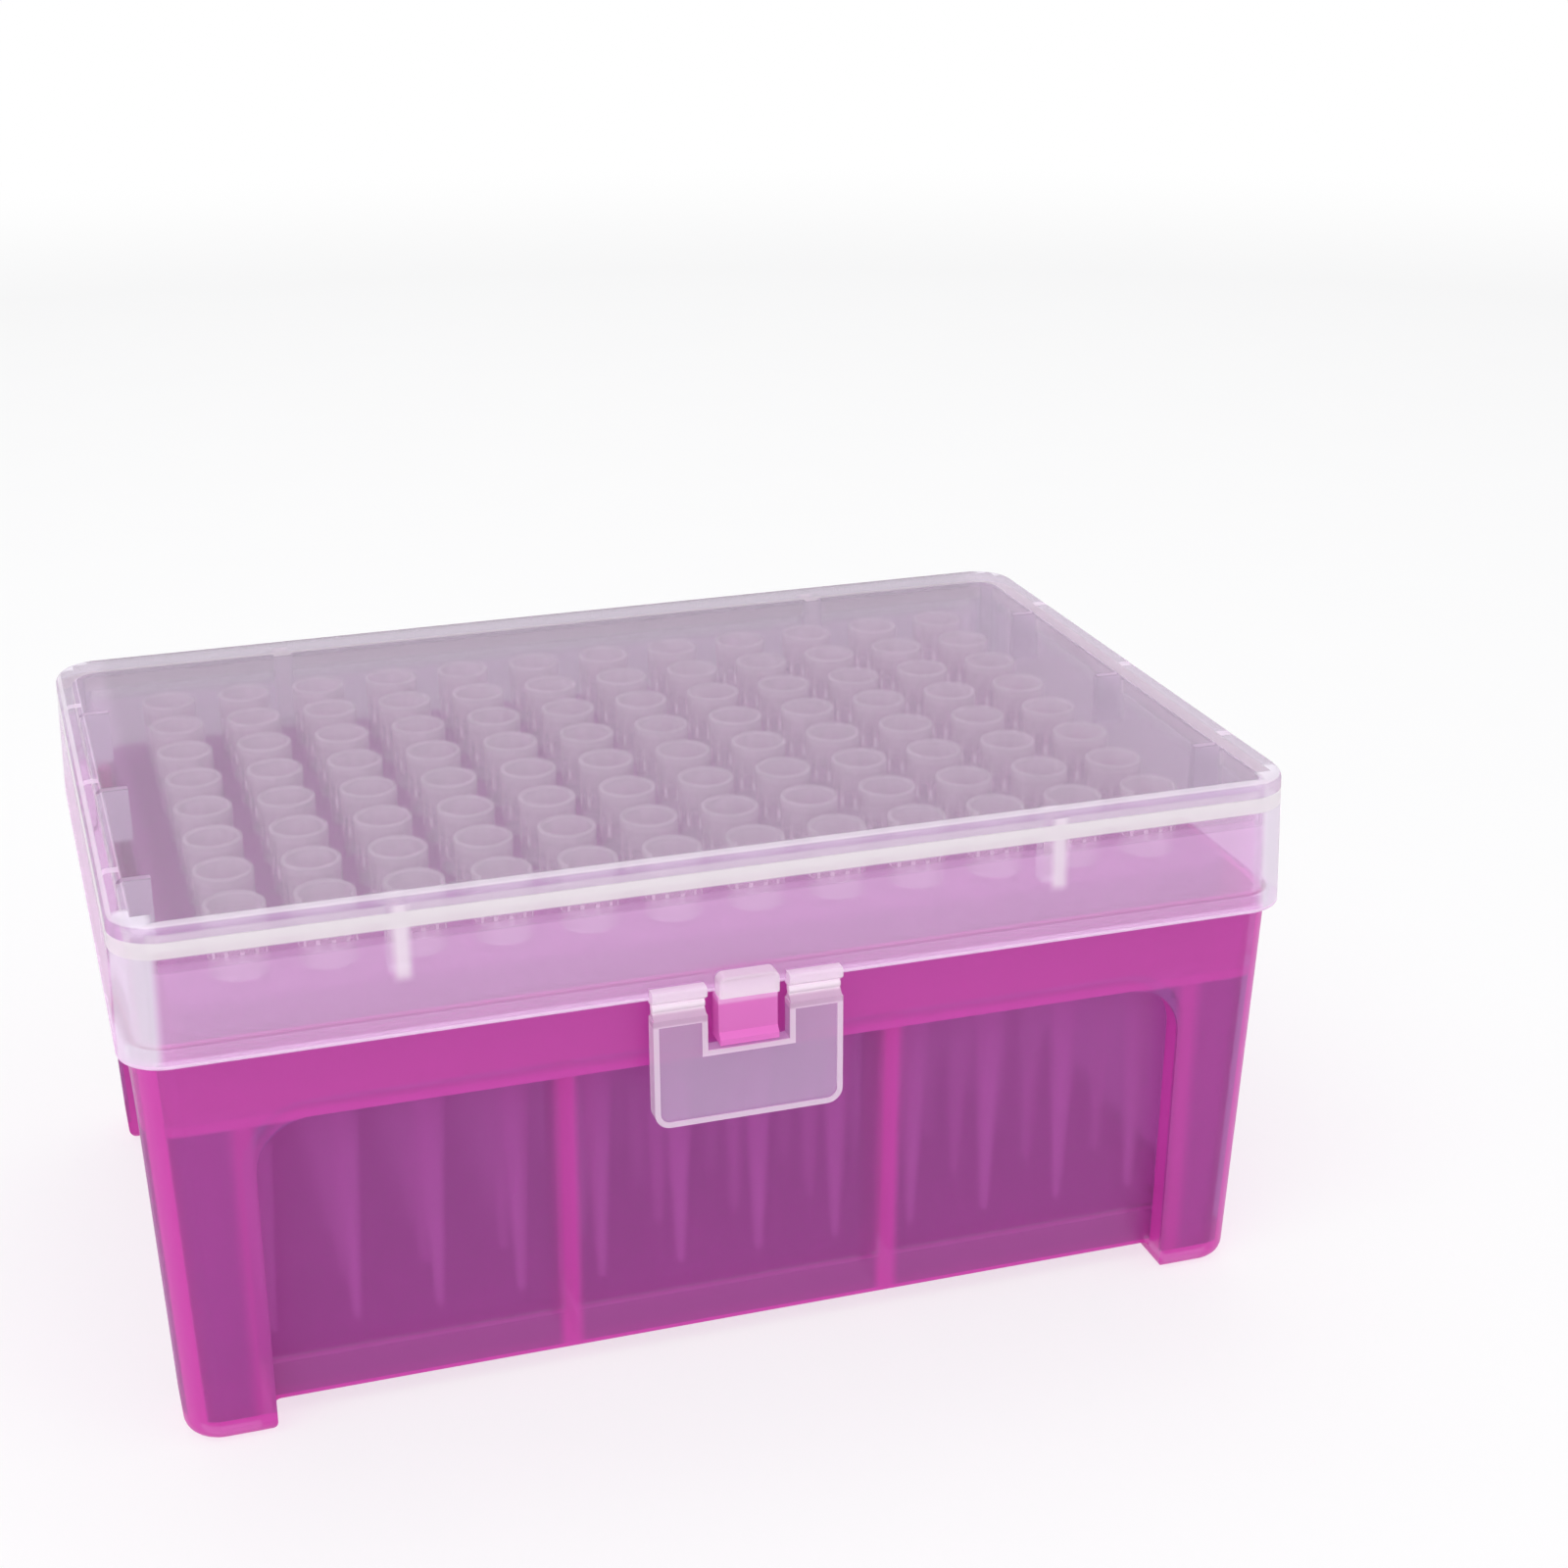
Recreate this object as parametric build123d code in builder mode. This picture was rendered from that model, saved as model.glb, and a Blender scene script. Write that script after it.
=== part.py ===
from build123d import *
from math import tan, radians
import os

# Hinged box of ninety-six filter tips for a pipette, in millimetres.
# The box stands on its feet. X runs along the long side, Y from front to back, Z up,
# and the origin is at the middle of the footprint. One STEP file is written per sub-part.

# ---------------------------------------------------------------------------
# Driving dimensions
# ---------------------------------------------------------------------------
# Tip grid
tip_pitch = 9.0
tip_columns = 12
tip_rows = 8

# Tray: outline of its top edge, and what stands below it
tray_length = 122.6
tray_depth = 80.9
tray_height = 46.8
tray_corner_radius = 4.0
tray_draft = 2.0
tray_wall = 1.3
recess_depth = 3.0
recess_corner_radius = 6.0
rim_band_height = 9.6
corner_column_width = 10.9
floor_top = 6.8
floor_thickness = 1.3
skirt_bottom = 2.3
foot_floor = 1.3
foot_edge_radius = 1.8
foot_inner_radius = 1.5
skirt_edge_radius = 0.8
wall_rib_spacing = 36.0
wall_rib_thickness = 1.4
wall_rib_reach = 5.6

# Rack that holds the tips
rack_rise = 3.4
rack_end_step = 4.3
rack_front_step = 2.85
rack_corner_radius = 3.0
rack_edge_radius = 0.5
rack_plate_thickness = 1.5
rack_skirt_wall = 1.2
rack_flange_thickness = 1.2
rack_clearance = 0.3
hole_clearance = 0.1

# Tip: heights measured down from its mouth, and how its radii step from the shaft's
tip_length = 49.4
collar_height = 7.1
shaft_radius = 2.72
collar_ledge = 0.33
collar_flare = 0.1
shoulder_depth = 13.2
shoulder_taper = 0.36
filter_taper = 0.24
tip_end_radius = 0.52
mouth_wall = 0.53
shaft_wall = 0.46
shoulder_wall = 0.4
filter_wall = 0.32
filter_seat_width = 0.28
tip_end_bore_radius = 0.26
mouth_edge_radius = 0.22
filter_length = 4.6
filter_clearance = 0.02

# Lid
lid_play = 0.3
lid_overlap = 1.6
lid_headroom = 2.0
lid_corner_radius = 5.0
lid_draft = 1.5
lid_wall = 1.8
lid_plate = 1.3
lid_edge_radius = 1.2
lid_rim_radius = 0.3
lid_inner_edge_radius = 1.1
rabbet_depth = 0.85
side_rib_spacing = 25.5
side_rib_shift = -1.5
side_rib_thickness = 1.1
side_rib_reach = 3.4
side_rib_height = 6.0
post_spacing = 69.4
post_thickness = 2.2
post_reach = 1.7
post_height = 7.9

# Latch: the flap hangs from two bars on the lid's front rim and hooks under a lug on the tray
latch_axis_reach = 0.6
latch_axis_drop = 0.55
latch_width = 20.3
latch_length = 13.35
latch_thickness = 1.5
latch_corner_radius = 1.7
latch_border_width = 0.6
latch_border_height = 0.25
latch_band_height = 0.75
latch_shoulder_height = 0.65
notch_side_play = 1.25
notch_lug_gap = 0.5
film_bead_radius = 0.45
film_gap = 0.05
film_neck = 0.5
bar_reach = 1.0
bar_height = 1.5
bar_toe_start = 0.3
bar_toe_height = 0.5
bar_edge_radius = 0.33
bar_side_play = 0.1
lug_width = 6.3
lug_height = 5.05
lug_lid_gap = 0.15
lug_reach = 0.7
lug_lip_reach = 1.3
lug_lip_height = 1.2
thumb_block_overhang = 0.05
thumb_block_height = 2.3
thumb_block_reach = 1.5
thumb_block_radius = 0.8
thumb_block_edge_radius = 0.27
thumb_block_gap = 0.1

# Lid hinge: two clips on the lid snap on two pins between cheeks behind the tray
hinge_axis_drop = 2.2
hinge_spacing = 72.0
hinge_pin_radius = 1.1
hinge_pin_clearance = 0.06
clip_wall = 0.8
clip_width = 8.0
clip_side_play = 0.3
clip_tray_gap = 0.19
clip_arm_height = 6.6
clip_back_height = 3.96
clip_mouth_half_angle = 42.0
cheek_thickness = 1.6
cheek_wall = 0.7
bracket_floor_gap = 0.94
bracket_floor_reach = 1.5
bracket_floor_thickness = 1.0

# ---------------------------------------------------------------------------
# Sizes that follow from them
# ---------------------------------------------------------------------------
tray_slope = tan(radians(tray_draft))
recess_top = tray_height - rim_band_height
window_half_x = tray_length / 2 - corner_column_width
window_half_y = tray_depth / 2 - corner_column_width
shelf_top = recess_top + tray_wall

rack_length = tray_length - 2 * rack_end_step
rack_depth = tray_depth - 2 * rack_front_step
rack_top = tray_height + rack_rise
rack_underside = rack_top - rack_plate_thickness
rack_hole_radius = shaft_radius + hole_clearance

tip_top = rack_top + collar_height
collar_foot_radius = shaft_radius + collar_ledge
collar_mouth_radius = collar_foot_radius + collar_flare
shoulder_radius = shaft_radius - shoulder_taper
filter_zone_radius = shoulder_radius - filter_taper
filter_foot_depth = shoulder_depth + filter_length
mouth_bore_radius = collar_mouth_radius - mouth_wall
collar_bore_radius = shaft_radius - shaft_wall
filter_top_bore_radius = shoulder_radius - shoulder_wall
filter_foot_bore_radius = filter_zone_radius - filter_wall
filter_seat_radius = filter_foot_bore_radius - filter_seat_width

lid_slope = tan(radians(lid_draft))
rim_thickness = lid_wall - rabbet_depth
lid_length = tray_length + 2 * (lid_play + rim_thickness)
lid_depth = tray_depth + 2 * (lid_play + rim_thickness)
lid_rim = tray_height - lid_overlap
lid_ceiling = tip_top + lid_headroom
lid_top = lid_ceiling + lid_plate

latch_axis_y = -lid_depth / 2 - latch_axis_reach
latch_axis_z = lid_rim - latch_axis_drop
latch_bottom = latch_axis_z - latch_length
latch_back = latch_thickness / 2
latch_front = latch_thickness / 2
lug_top = lid_rim - lug_lid_gap
lug_bottom = lug_top - lug_height
notch_bottom = lug_bottom - notch_lug_gap
notch_width = lug_width + 2 * notch_side_play
ear_inner = notch_width / 2
ear_outer = latch_width / 2
ear_width = ear_outer - ear_inner
ear_middle = (ear_outer + ear_inner) / 2
thumb_block_width = lug_width + 2 * thumb_block_overhang

clip_bore_radius = hinge_pin_radius + hinge_pin_clearance
clip_outer_radius = clip_bore_radius + clip_wall
cheek_radius = hinge_pin_radius + cheek_wall
hinge_axis_y = tray_depth / 2 + clip_tray_gap + clip_outer_radius
hinge_axis_z = lid_rim - hinge_axis_drop
bracket_floor_drop = clip_outer_radius + bracket_floor_gap

os.makedirs("parts", exist_ok=True)


def save(piece, name):
    """Label a finished piece and write it to its own STEP file."""
    piece.label = name
    export_step(piece, f"parts/{name}.step")


def tray_half(side, height, inset):
    """Half of one outside dimension of the tray at a height, drawn in by inset."""
    return side / 2 - inset - (tray_height - height) * tray_slope


def tapered_block(bottom, top, inset, radius):
    """Block with the tray's draft between two heights, drawn in by inset."""
    with BuildPart() as block:
        for height in (bottom, top):
            half_x = tray_half(tray_length, height, inset)
            half_y = tray_half(tray_depth, height, inset)
            with BuildSketch(Plane.XY.offset(height)):
                RectangleRounded(2 * half_x, 2 * half_y, radius)
        loft()
    return block.part


def recess_cutter(inset):
    """What is taken off a tray block to leave the four recessed panels between corner columns."""
    top = recess_top + inset
    radius = recess_corner_radius + inset
    with BuildPart() as cutter:
        for plane, half in ((Plane.XZ, window_half_x), (Plane.YZ, window_half_y)):
            width = 2 * (half + inset)
            with BuildSketch(plane):
                with Locations((0, top / 2 - radius)):
                    Rectangle(width, top + 2 * radius)
                fillet(vertices().group_by(Axis.Y)[-1], radius)
            extrude(amount=tray_length, both=True)
        core = tapered_block(-4 * radius, tray_height, recess_depth + inset, tray_corner_radius)
        add(core, mode=Mode.SUBTRACT)
    return cutter.part


def tray_form(bottom, top, inset):
    """Tray shape between two heights, drawn in by inset: whole, or as the cavity inside it."""
    with BuildPart() as form:
        add(tapered_block(bottom, top, inset, tray_corner_radius - inset))
        if bottom == 0:
            fillet(edges().group_by(Axis.Z)[0], foot_edge_radius)
        add(recess_cutter(inset), mode=Mode.SUBTRACT)
    return form.part


def foot_gap(plane, half):
    """Gap between two feet, drawn across a vertical plane: flared at the feet, rounded under the skirt."""
    flare = half + foot_inner_radius
    bend = half - skirt_edge_radius
    bend_height = skirt_bottom - skirt_edge_radius
    with BuildPart() as gap:
        with BuildSketch(plane):
            with BuildLine():
                Line((0, 0), (flare, 0))
                CenterArc((flare, foot_inner_radius), foot_inner_radius, 180, 90)
                Line((half, foot_inner_radius), (half, bend_height))
                CenterArc((bend, bend_height), skirt_edge_radius, 0, 90)
                Line((bend, skirt_bottom), (0, skirt_bottom))
                mirror(about=Plane.YZ)
            make_face()
        extrude(amount=tray_length, both=True)
    return gap.part


# ---------------------------------------------------------------------------
# Tray: one moulding with its feet, ribs, latch lug and hinge pins
# ---------------------------------------------------------------------------
with BuildPart() as foot_pockets:
    add(tapered_block(foot_floor, floor_top + 1, tray_wall, tray_corner_radius - tray_wall))
    with Locations((0, 0, floor_top / 2)):
        Box(2 * (window_half_x + tray_wall), tray_depth, 3 * floor_top, mode=Mode.SUBTRACT)
        Box(tray_length, 2 * (window_half_y + tray_wall), 3 * floor_top, mode=Mode.SUBTRACT)

with BuildPart() as wall_ribs:
    add(tapered_block(skirt_bottom, shelf_top, recess_depth + tray_wall / 2, tray_corner_radius))
    rib_inner_y = tray_half(tray_depth, floor_top, recess_depth + tray_wall) - wall_rib_reach
    with Locations((0, 0, tray_height / 2)):
        Box(tray_length, 2 * rib_inner_y, tray_height, mode=Mode.SUBTRACT)
    with BuildSketch():
        with GridLocations(wall_rib_spacing, 1, 2, 1):
            Rectangle(wall_rib_thickness, tray_depth)
    extrude(amount=tray_height, mode=Mode.INTERSECT)

with BuildPart() as latch_lug:
    lug_face = -latch_axis_y + lug_reach
    lug_root = tray_half(tray_depth, lug_bottom, tray_wall / 2)
    with BuildSketch(Plane.YZ):
        with BuildLine():
            Polyline(
                (-lug_root, lug_bottom),
                (latch_axis_y - lug_lip_reach, lug_bottom),
                (latch_axis_y - lug_lip_reach, lug_bottom + lug_lip_height / 2),
                (-lug_face, lug_bottom + lug_lip_height),
                (-lug_face, lug_top),
                (-lug_root, lug_top),
                close=True,
            )
        make_face()
    extrude(amount=lug_width / 2, both=True)

with BuildPart() as hinge_brackets:
    bracket_width = clip_width + 2 * clip_side_play + 2 * cheek_thickness
    bracket_root = tray_half(tray_depth, hinge_axis_z, tray_wall / 2)
    with BuildSketch(Plane.YZ):
        with Locations((hinge_axis_y, hinge_axis_z)):
            Circle(cheek_radius)
        with BuildLine():
            Polyline(
                (bracket_root, hinge_axis_z + cheek_radius),
                (bracket_root, hinge_axis_z - bracket_floor_drop - bracket_floor_thickness),
                (
                    hinge_axis_y + bracket_floor_reach,
                    hinge_axis_z - bracket_floor_drop - bracket_floor_thickness,
                ),
                (hinge_axis_y + bracket_floor_reach, hinge_axis_z - bracket_floor_drop),
                (hinge_axis_y, hinge_axis_z),
                close=True,
            )
        make_face()
        make_hull()
    extrude(amount=bracket_width / 2, both=True)
    with BuildSketch(Plane.YZ):
        with Locations((hinge_axis_y, hinge_axis_z + tray_height / 2 - bracket_floor_drop)):
            Rectangle(tray_depth, tray_height)
    extrude(amount=clip_width / 2 + clip_side_play, both=True, mode=Mode.SUBTRACT)
    with Locations(Location((0, hinge_axis_y, hinge_axis_z), (0, 90, 0))):
        Cylinder(hinge_pin_radius, bracket_width - cheek_thickness)

with BuildPart() as base_tray:
    add(tray_form(0, tray_height, 0))
    add(tray_form(floor_top, tray_height + 1, tray_wall), mode=Mode.SUBTRACT)
    add(foot_pockets.part, mode=Mode.SUBTRACT)
    # Hollow under the floor, and the gaps between the feet
    skirt_half_x = tray_half(tray_length, skirt_bottom, recess_depth + tray_wall)
    skirt_half_y = tray_half(tray_depth, skirt_bottom, recess_depth + tray_wall)
    under_floor = floor_top - floor_thickness
    with BuildSketch():
        Rectangle(2 * window_half_x, 2 * skirt_half_y)
        Rectangle(2 * skirt_half_x, 2 * window_half_y)
    extrude(amount=under_floor, mode=Mode.SUBTRACT)
    add(foot_gap(Plane.XZ, window_half_x), mode=Mode.SUBTRACT)
    add(foot_gap(Plane.YZ, window_half_y), mode=Mode.SUBTRACT)
    add(wall_ribs.part)
    add(latch_lug.part)
    with Locations((-hinge_spacing / 2, 0, 0), (hinge_spacing / 2, 0, 0)):
        add(hinge_brackets.part)

save(base_tray.part, "base_tray")

# ---------------------------------------------------------------------------
# Rack: a plate with ninety-six holes on a skirt that stands on the tray's shelf
# ---------------------------------------------------------------------------
with BuildPart() as rack_plate:
    flange_inset = tray_wall + rack_clearance
    flange_half_x = tray_half(tray_length, shelf_top, flange_inset)
    flange_half_y = tray_half(tray_depth, shelf_top, flange_inset)
    with BuildSketch(Plane.XY.offset(shelf_top)):
        RectangleRounded(2 * flange_half_x, 2 * flange_half_y, tray_corner_radius - flange_inset)
    extrude(amount=rack_flange_thickness)
    with BuildSketch(Plane.XY.offset(shelf_top)):
        RectangleRounded(rack_length, rack_depth, rack_corner_radius)
    extrude(amount=rack_top - shelf_top)
    fillet(edges().group_by(Axis.Z)[-1], rack_edge_radius)
    with BuildSketch(Plane.XY.offset(shelf_top)):
        RectangleRounded(
            rack_length - 2 * rack_skirt_wall,
            rack_depth - 2 * rack_skirt_wall,
            rack_corner_radius - rack_skirt_wall,
        )
    extrude(amount=rack_underside - shelf_top, mode=Mode.SUBTRACT)
    with BuildSketch(Plane.XY.offset(rack_underside)):
        with GridLocations(tip_pitch, tip_pitch, tip_columns, tip_rows):
            Circle(rack_hole_radius)
    extrude(amount=2 * rack_plate_thickness, mode=Mode.SUBTRACT)

save(rack_plate.part, "rack_plate")

# ---------------------------------------------------------------------------
# Tips and their filters, a column of eight to a node
# ---------------------------------------------------------------------------
with BuildPart() as tip:
    with BuildSketch(Plane.XZ):
        with BuildLine():
            Polyline(
                (mouth_bore_radius, 0),
                (collar_mouth_radius, 0),
                (collar_foot_radius, -collar_height),
                (shaft_radius, -collar_height),
                (shoulder_radius, -shoulder_depth),
                (filter_zone_radius, -filter_foot_depth),
                (tip_end_radius, -tip_length),
                (tip_end_bore_radius, -tip_length),
                (filter_seat_radius, -filter_foot_depth),
                (filter_foot_bore_radius, -filter_foot_depth),
                (filter_top_bore_radius, -shoulder_depth),
                (collar_bore_radius, -collar_height),
                close=True,
            )
        make_face()
    revolve(axis=Axis.Z)
    fillet(edges().filter_by(GeomType.CIRCLE).group_by(Axis.Z)[-1], mouth_edge_radius)

with BuildPart() as filter_plug:
    with BuildSketch(Plane.XZ):
        with BuildLine():
            Polyline(
                (0, -filter_foot_depth),
                (filter_foot_bore_radius - filter_clearance, -filter_foot_depth),
                (filter_top_bore_radius - filter_clearance, -shoulder_depth),
                (0, -shoulder_depth),
                close=True,
            )
        make_face()
    revolve(axis=Axis.Z)

row_offsets = [(row - (tip_rows - 1) / 2) * tip_pitch for row in range(tip_rows)]
for column in range(tip_columns):
    column_x = (column - (tip_columns - 1) / 2) * tip_pitch
    seats = [(column_x, row_y, tip_top) for row_y in row_offsets]
    with BuildPart() as tips_column:
        with Locations(*seats):
            add(tip.part)
    save(tips_column.part, f"tips_column_{column + 1:02d}")
    with BuildPart() as filters_column:
        with Locations(*seats):
            add(filter_plug.part)
    save(filters_column.part, f"filters_column_{column + 1:02d}")

# ---------------------------------------------------------------------------
# Lid: one moulding with its inner ribs, latch bars and hinge clips
# ---------------------------------------------------------------------------


def lid_block(bottom, top, inset, radius, edge_radius, rim_radius=0):
    """Lid shape between two heights, drawn in by inset, with its top edge and rim rounded."""
    with BuildPart() as block:
        for height in (bottom, top):
            lean = (height - lid_rim) * lid_slope
            with BuildSketch(Plane.XY.offset(height)):
                RectangleRounded(
                    lid_length - 2 * (inset + lean), lid_depth - 2 * (inset + lean), radius
                )
        loft()
        if edge_radius:
            fillet(edges().group_by(Axis.Z)[-1], edge_radius)
        if rim_radius:
            fillet(edges().group_by(Axis.Z)[0], rim_radius)
    return block.part


with BuildPart() as lid_ribs:
    # Drawn across the whole lid and trimmed to its walls and to the room that each rib leaves
    ceiling = lid_ceiling + lid_plate / 2
    ceiling_lean = (lid_ceiling - lid_rim) * lid_slope
    inner_half_x = lid_length / 2 - lid_wall - ceiling_lean
    inner_half_y = lid_depth / 2 - lid_wall - ceiling_lean
    with BuildSketch(Plane.XY.offset(ceiling)):
        with Locations((0, side_rib_shift)):
            with GridLocations(1, side_rib_spacing, 1, 3):
                Rectangle(lid_length, side_rib_thickness)
    extrude(amount=-(side_rib_height + lid_plate / 2))
    with BuildSketch(Plane.XY.offset(ceiling)):
        with GridLocations(post_spacing, 1, 2, 1):
            Rectangle(post_thickness, lid_depth)
    extrude(amount=-(post_height + lid_plate / 2))
    with BuildSketch(Plane.XY.offset(lid_rim)):
        Rectangle(2 * (inner_half_x - side_rib_reach), 2 * (inner_half_y - post_reach))
    extrude(amount=lid_top - lid_rim, mode=Mode.SUBTRACT)
    trim_inset = lid_wall / 2
    add(lid_block(lid_rim, lid_top, trim_inset, lid_corner_radius - trim_inset, 0), mode=Mode.INTERSECT)

with BuildPart() as latch_bar:
    bar_bottom = latch_axis_z + film_bead_radius + film_gap
    bar_root = -lid_depth / 2 + lid_wall / 2
    with BuildSketch(Plane.YZ):
        with BuildLine():
            Polyline(
                (bar_root, bar_bottom),
                (latch_axis_y - bar_toe_start, bar_bottom),
                (latch_axis_y - bar_reach, bar_bottom + bar_toe_height),
                (latch_axis_y - bar_reach, bar_bottom + bar_height),
                (bar_root, bar_bottom + bar_height),
                close=True,
            )
        make_face()
    extrude(amount=ear_width / 2, both=True)
    fillet(edges().filter_by(Axis.X).group_by(Axis.Z)[-1].sort_by(Axis.Y)[0], bar_edge_radius)

with BuildPart() as thumb_block:
    block_bottom = lid_rim + thumb_block_gap
    with BuildSketch(Plane.XZ.offset(lid_depth / 2 - lid_wall / 2)):
        with Locations((0, block_bottom + thumb_block_height / 2)):
            Rectangle(thumb_block_width, thumb_block_height)
        fillet(vertices().group_by(Axis.Y)[-1], thumb_block_radius)
    extrude(amount=-latch_axis_y + thumb_block_reach - (lid_depth / 2 - lid_wall / 2))
    fillet(faces().sort_by(Axis.Y)[0].edges().sort_by(Axis.Z)[1:], thumb_block_edge_radius)

with BuildPart() as hinge_clip:
    arm_root = lid_depth / 2 - lid_wall / 2
    with BuildSketch(Plane.YZ):
        with Locations((hinge_axis_y, hinge_axis_z)):
            Circle(clip_outer_radius)
        with BuildLine():
            Polyline(
                (hinge_axis_y, hinge_axis_z),
                (hinge_axis_y + clip_outer_radius, hinge_axis_z),
                (hinge_axis_y + clip_outer_radius, hinge_axis_z + clip_back_height),
                (arm_root + clip_wall, hinge_axis_z + clip_arm_height),
                (arm_root, hinge_axis_z + clip_arm_height),
                (arm_root, lid_rim + thumb_block_gap),
                (hinge_axis_y - clip_bore_radius, hinge_axis_z + clip_bore_radius),
                close=True,
            )
        make_face()
        with Locations((hinge_axis_y, hinge_axis_z)):
            Circle(clip_bore_radius, mode=Mode.SUBTRACT)
        mouth_half = 2 * clip_outer_radius * tan(radians(clip_mouth_half_angle))
        with BuildLine():
            Polyline(
                (hinge_axis_y, hinge_axis_z),
                (hinge_axis_y - mouth_half, hinge_axis_z - 2 * clip_outer_radius),
                (hinge_axis_y + mouth_half, hinge_axis_z - 2 * clip_outer_radius),
                close=True,
            )
        make_face(mode=Mode.SUBTRACT)
    extrude(amount=clip_width / 2, both=True)

with BuildPart() as lid:
    add(lid_block(lid_rim, lid_top, 0, lid_corner_radius, lid_edge_radius, lid_rim_radius))
    cavity_radius = lid_corner_radius - lid_wall
    add(
        lid_block(lid_rim, lid_ceiling, lid_wall, cavity_radius, lid_inner_edge_radius),
        mode=Mode.SUBTRACT,
    )
    with BuildSketch(Plane.XY.offset(lid_rim)):
        RectangleRounded(
            lid_length - 2 * rim_thickness,
            lid_depth - 2 * rim_thickness,
            lid_corner_radius - rim_thickness,
        )
    extrude(amount=tray_height - lid_rim, mode=Mode.SUBTRACT)
    add(lid_ribs.part)
    with Locations((-ear_middle, 0, 0), (ear_middle, 0, 0)):
        add(latch_bar.part)
    add(thumb_block.part)
    with Locations((-hinge_spacing / 2, 0, 0), (hinge_spacing / 2, 0, 0)):
        add(hinge_clip.part)

save(lid.part, "lid")

# ---------------------------------------------------------------------------
# Latch flap: a notched plate with a raised edge, and a bead that the film hinge stands for
# ---------------------------------------------------------------------------
ear_top = latch_axis_z - film_bead_radius
panel_top = ear_top - latch_shoulder_height
panel_back = -latch_axis_y - latch_back
panel_front = -latch_axis_y + latch_front
band_front = panel_front + latch_border_height


def latch_face(inset, band):
    """Outline of the flap, drawn in by inset round its edge and notch and by band at the top."""
    low = latch_bottom + inset
    high = panel_top - band
    with BuildSketch() as face:
        with Locations((0, (high + low) / 2)):
            Rectangle(latch_width - 2 * inset, high - low)
        fillet(vertices().group_by(Axis.Y)[0], latch_corner_radius - inset)
        with Locations((0, notch_bottom - inset + tray_height / 2)):
            Rectangle(notch_width + 2 * inset, tray_height, mode=Mode.SUBTRACT)
    return face.sketch


with BuildPart() as latch_ears:
    with BuildSketch(Plane.YZ):
        with BuildLine():
            Polyline(
                (latch_axis_y - film_neck / 2, latch_axis_z),
                (latch_axis_y - film_neck / 2, ear_top),
                (-band_front, panel_top),
                (-panel_back, panel_top),
                (latch_axis_y + film_neck / 2, ear_top),
                (latch_axis_y + film_neck / 2, latch_axis_z),
                close=True,
            )
        make_face()
        with Locations((latch_axis_y, latch_axis_z)):
            Circle(film_bead_radius)
    extrude(amount=ear_width / 2 - bar_side_play, both=True)

with BuildPart() as latch_tab:
    with BuildSketch(Plane.XZ.offset(panel_back)):
        add(latch_face(0, 0))
    extrude(amount=latch_thickness + latch_border_height)
    with BuildSketch(Plane.XZ.offset(panel_front)):
        add(latch_face(latch_border_width, latch_band_height))
    extrude(amount=latch_border_height, mode=Mode.SUBTRACT)
    with Locations((-ear_middle, 0, 0), (ear_middle, 0, 0)):
        add(latch_ears.part)

save(latch_tab.part, "latch_tab")
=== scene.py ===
"""Looks of a hinged box of filter tips: milky lid and latch flap, magenta tray and rack, natural tips."""

import logging
import math
from dataclasses import dataclass
from enum import Enum
from typing import Any, Iterable, Sequence

import bmesh
import bpy
from mathutils import Matrix, Vector

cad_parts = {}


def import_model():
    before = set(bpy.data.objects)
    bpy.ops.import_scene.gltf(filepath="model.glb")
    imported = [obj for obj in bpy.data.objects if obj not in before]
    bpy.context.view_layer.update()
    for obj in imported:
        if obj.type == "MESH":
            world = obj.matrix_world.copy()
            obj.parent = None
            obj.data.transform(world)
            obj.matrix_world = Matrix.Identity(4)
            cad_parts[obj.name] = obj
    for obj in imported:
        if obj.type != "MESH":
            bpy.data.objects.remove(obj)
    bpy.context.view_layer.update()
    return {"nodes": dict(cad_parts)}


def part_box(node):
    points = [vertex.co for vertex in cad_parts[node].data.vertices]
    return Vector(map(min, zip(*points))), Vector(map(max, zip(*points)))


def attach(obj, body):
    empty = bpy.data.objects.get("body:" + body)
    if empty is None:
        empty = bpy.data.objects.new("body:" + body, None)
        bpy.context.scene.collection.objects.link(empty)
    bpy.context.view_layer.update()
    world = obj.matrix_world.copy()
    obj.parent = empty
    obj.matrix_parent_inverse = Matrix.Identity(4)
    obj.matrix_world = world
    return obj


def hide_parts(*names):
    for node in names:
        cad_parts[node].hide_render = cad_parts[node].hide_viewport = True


LOG = logging.getLogger("tip_box")
MM = 0.001
EDGE = 0.2 * MM  # how wide a mask's margin is unless it has a fade of its own
TIP_PITCH = 9.0 * MM
CLEAR_FACES = 96  # how many clear faces light may go straight through
Colour = tuple[float, float, float]
Socket = bpy.types.NodeSocket
Nodes = dict[str, bpy.types.Object]
WHITE: Colour = (1.0, 1.0, 1.0)
CLEAR: Colour = (0.97, 0.97, 0.98)
ROSY: Colour = (0.97, 0.78, 0.93)


class Slot(Enum):
    """Material slots of the record, by the finish that each one takes."""

    TRAY = "tray_plastic"
    RACK = "rack_plastic"
    LID = "lid_plastic"
    TIP = "tip_plastic"
    FILTER = "filter_fibre"


class MixKind(Enum):
    """What a Mix node mixes: its data type, its input sockets and its output socket."""

    NUMBER = ("FLOAT", (0, 2, 3), 0)
    COLOUR = ("RGBA", (0, 6, 7), 2)


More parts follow.
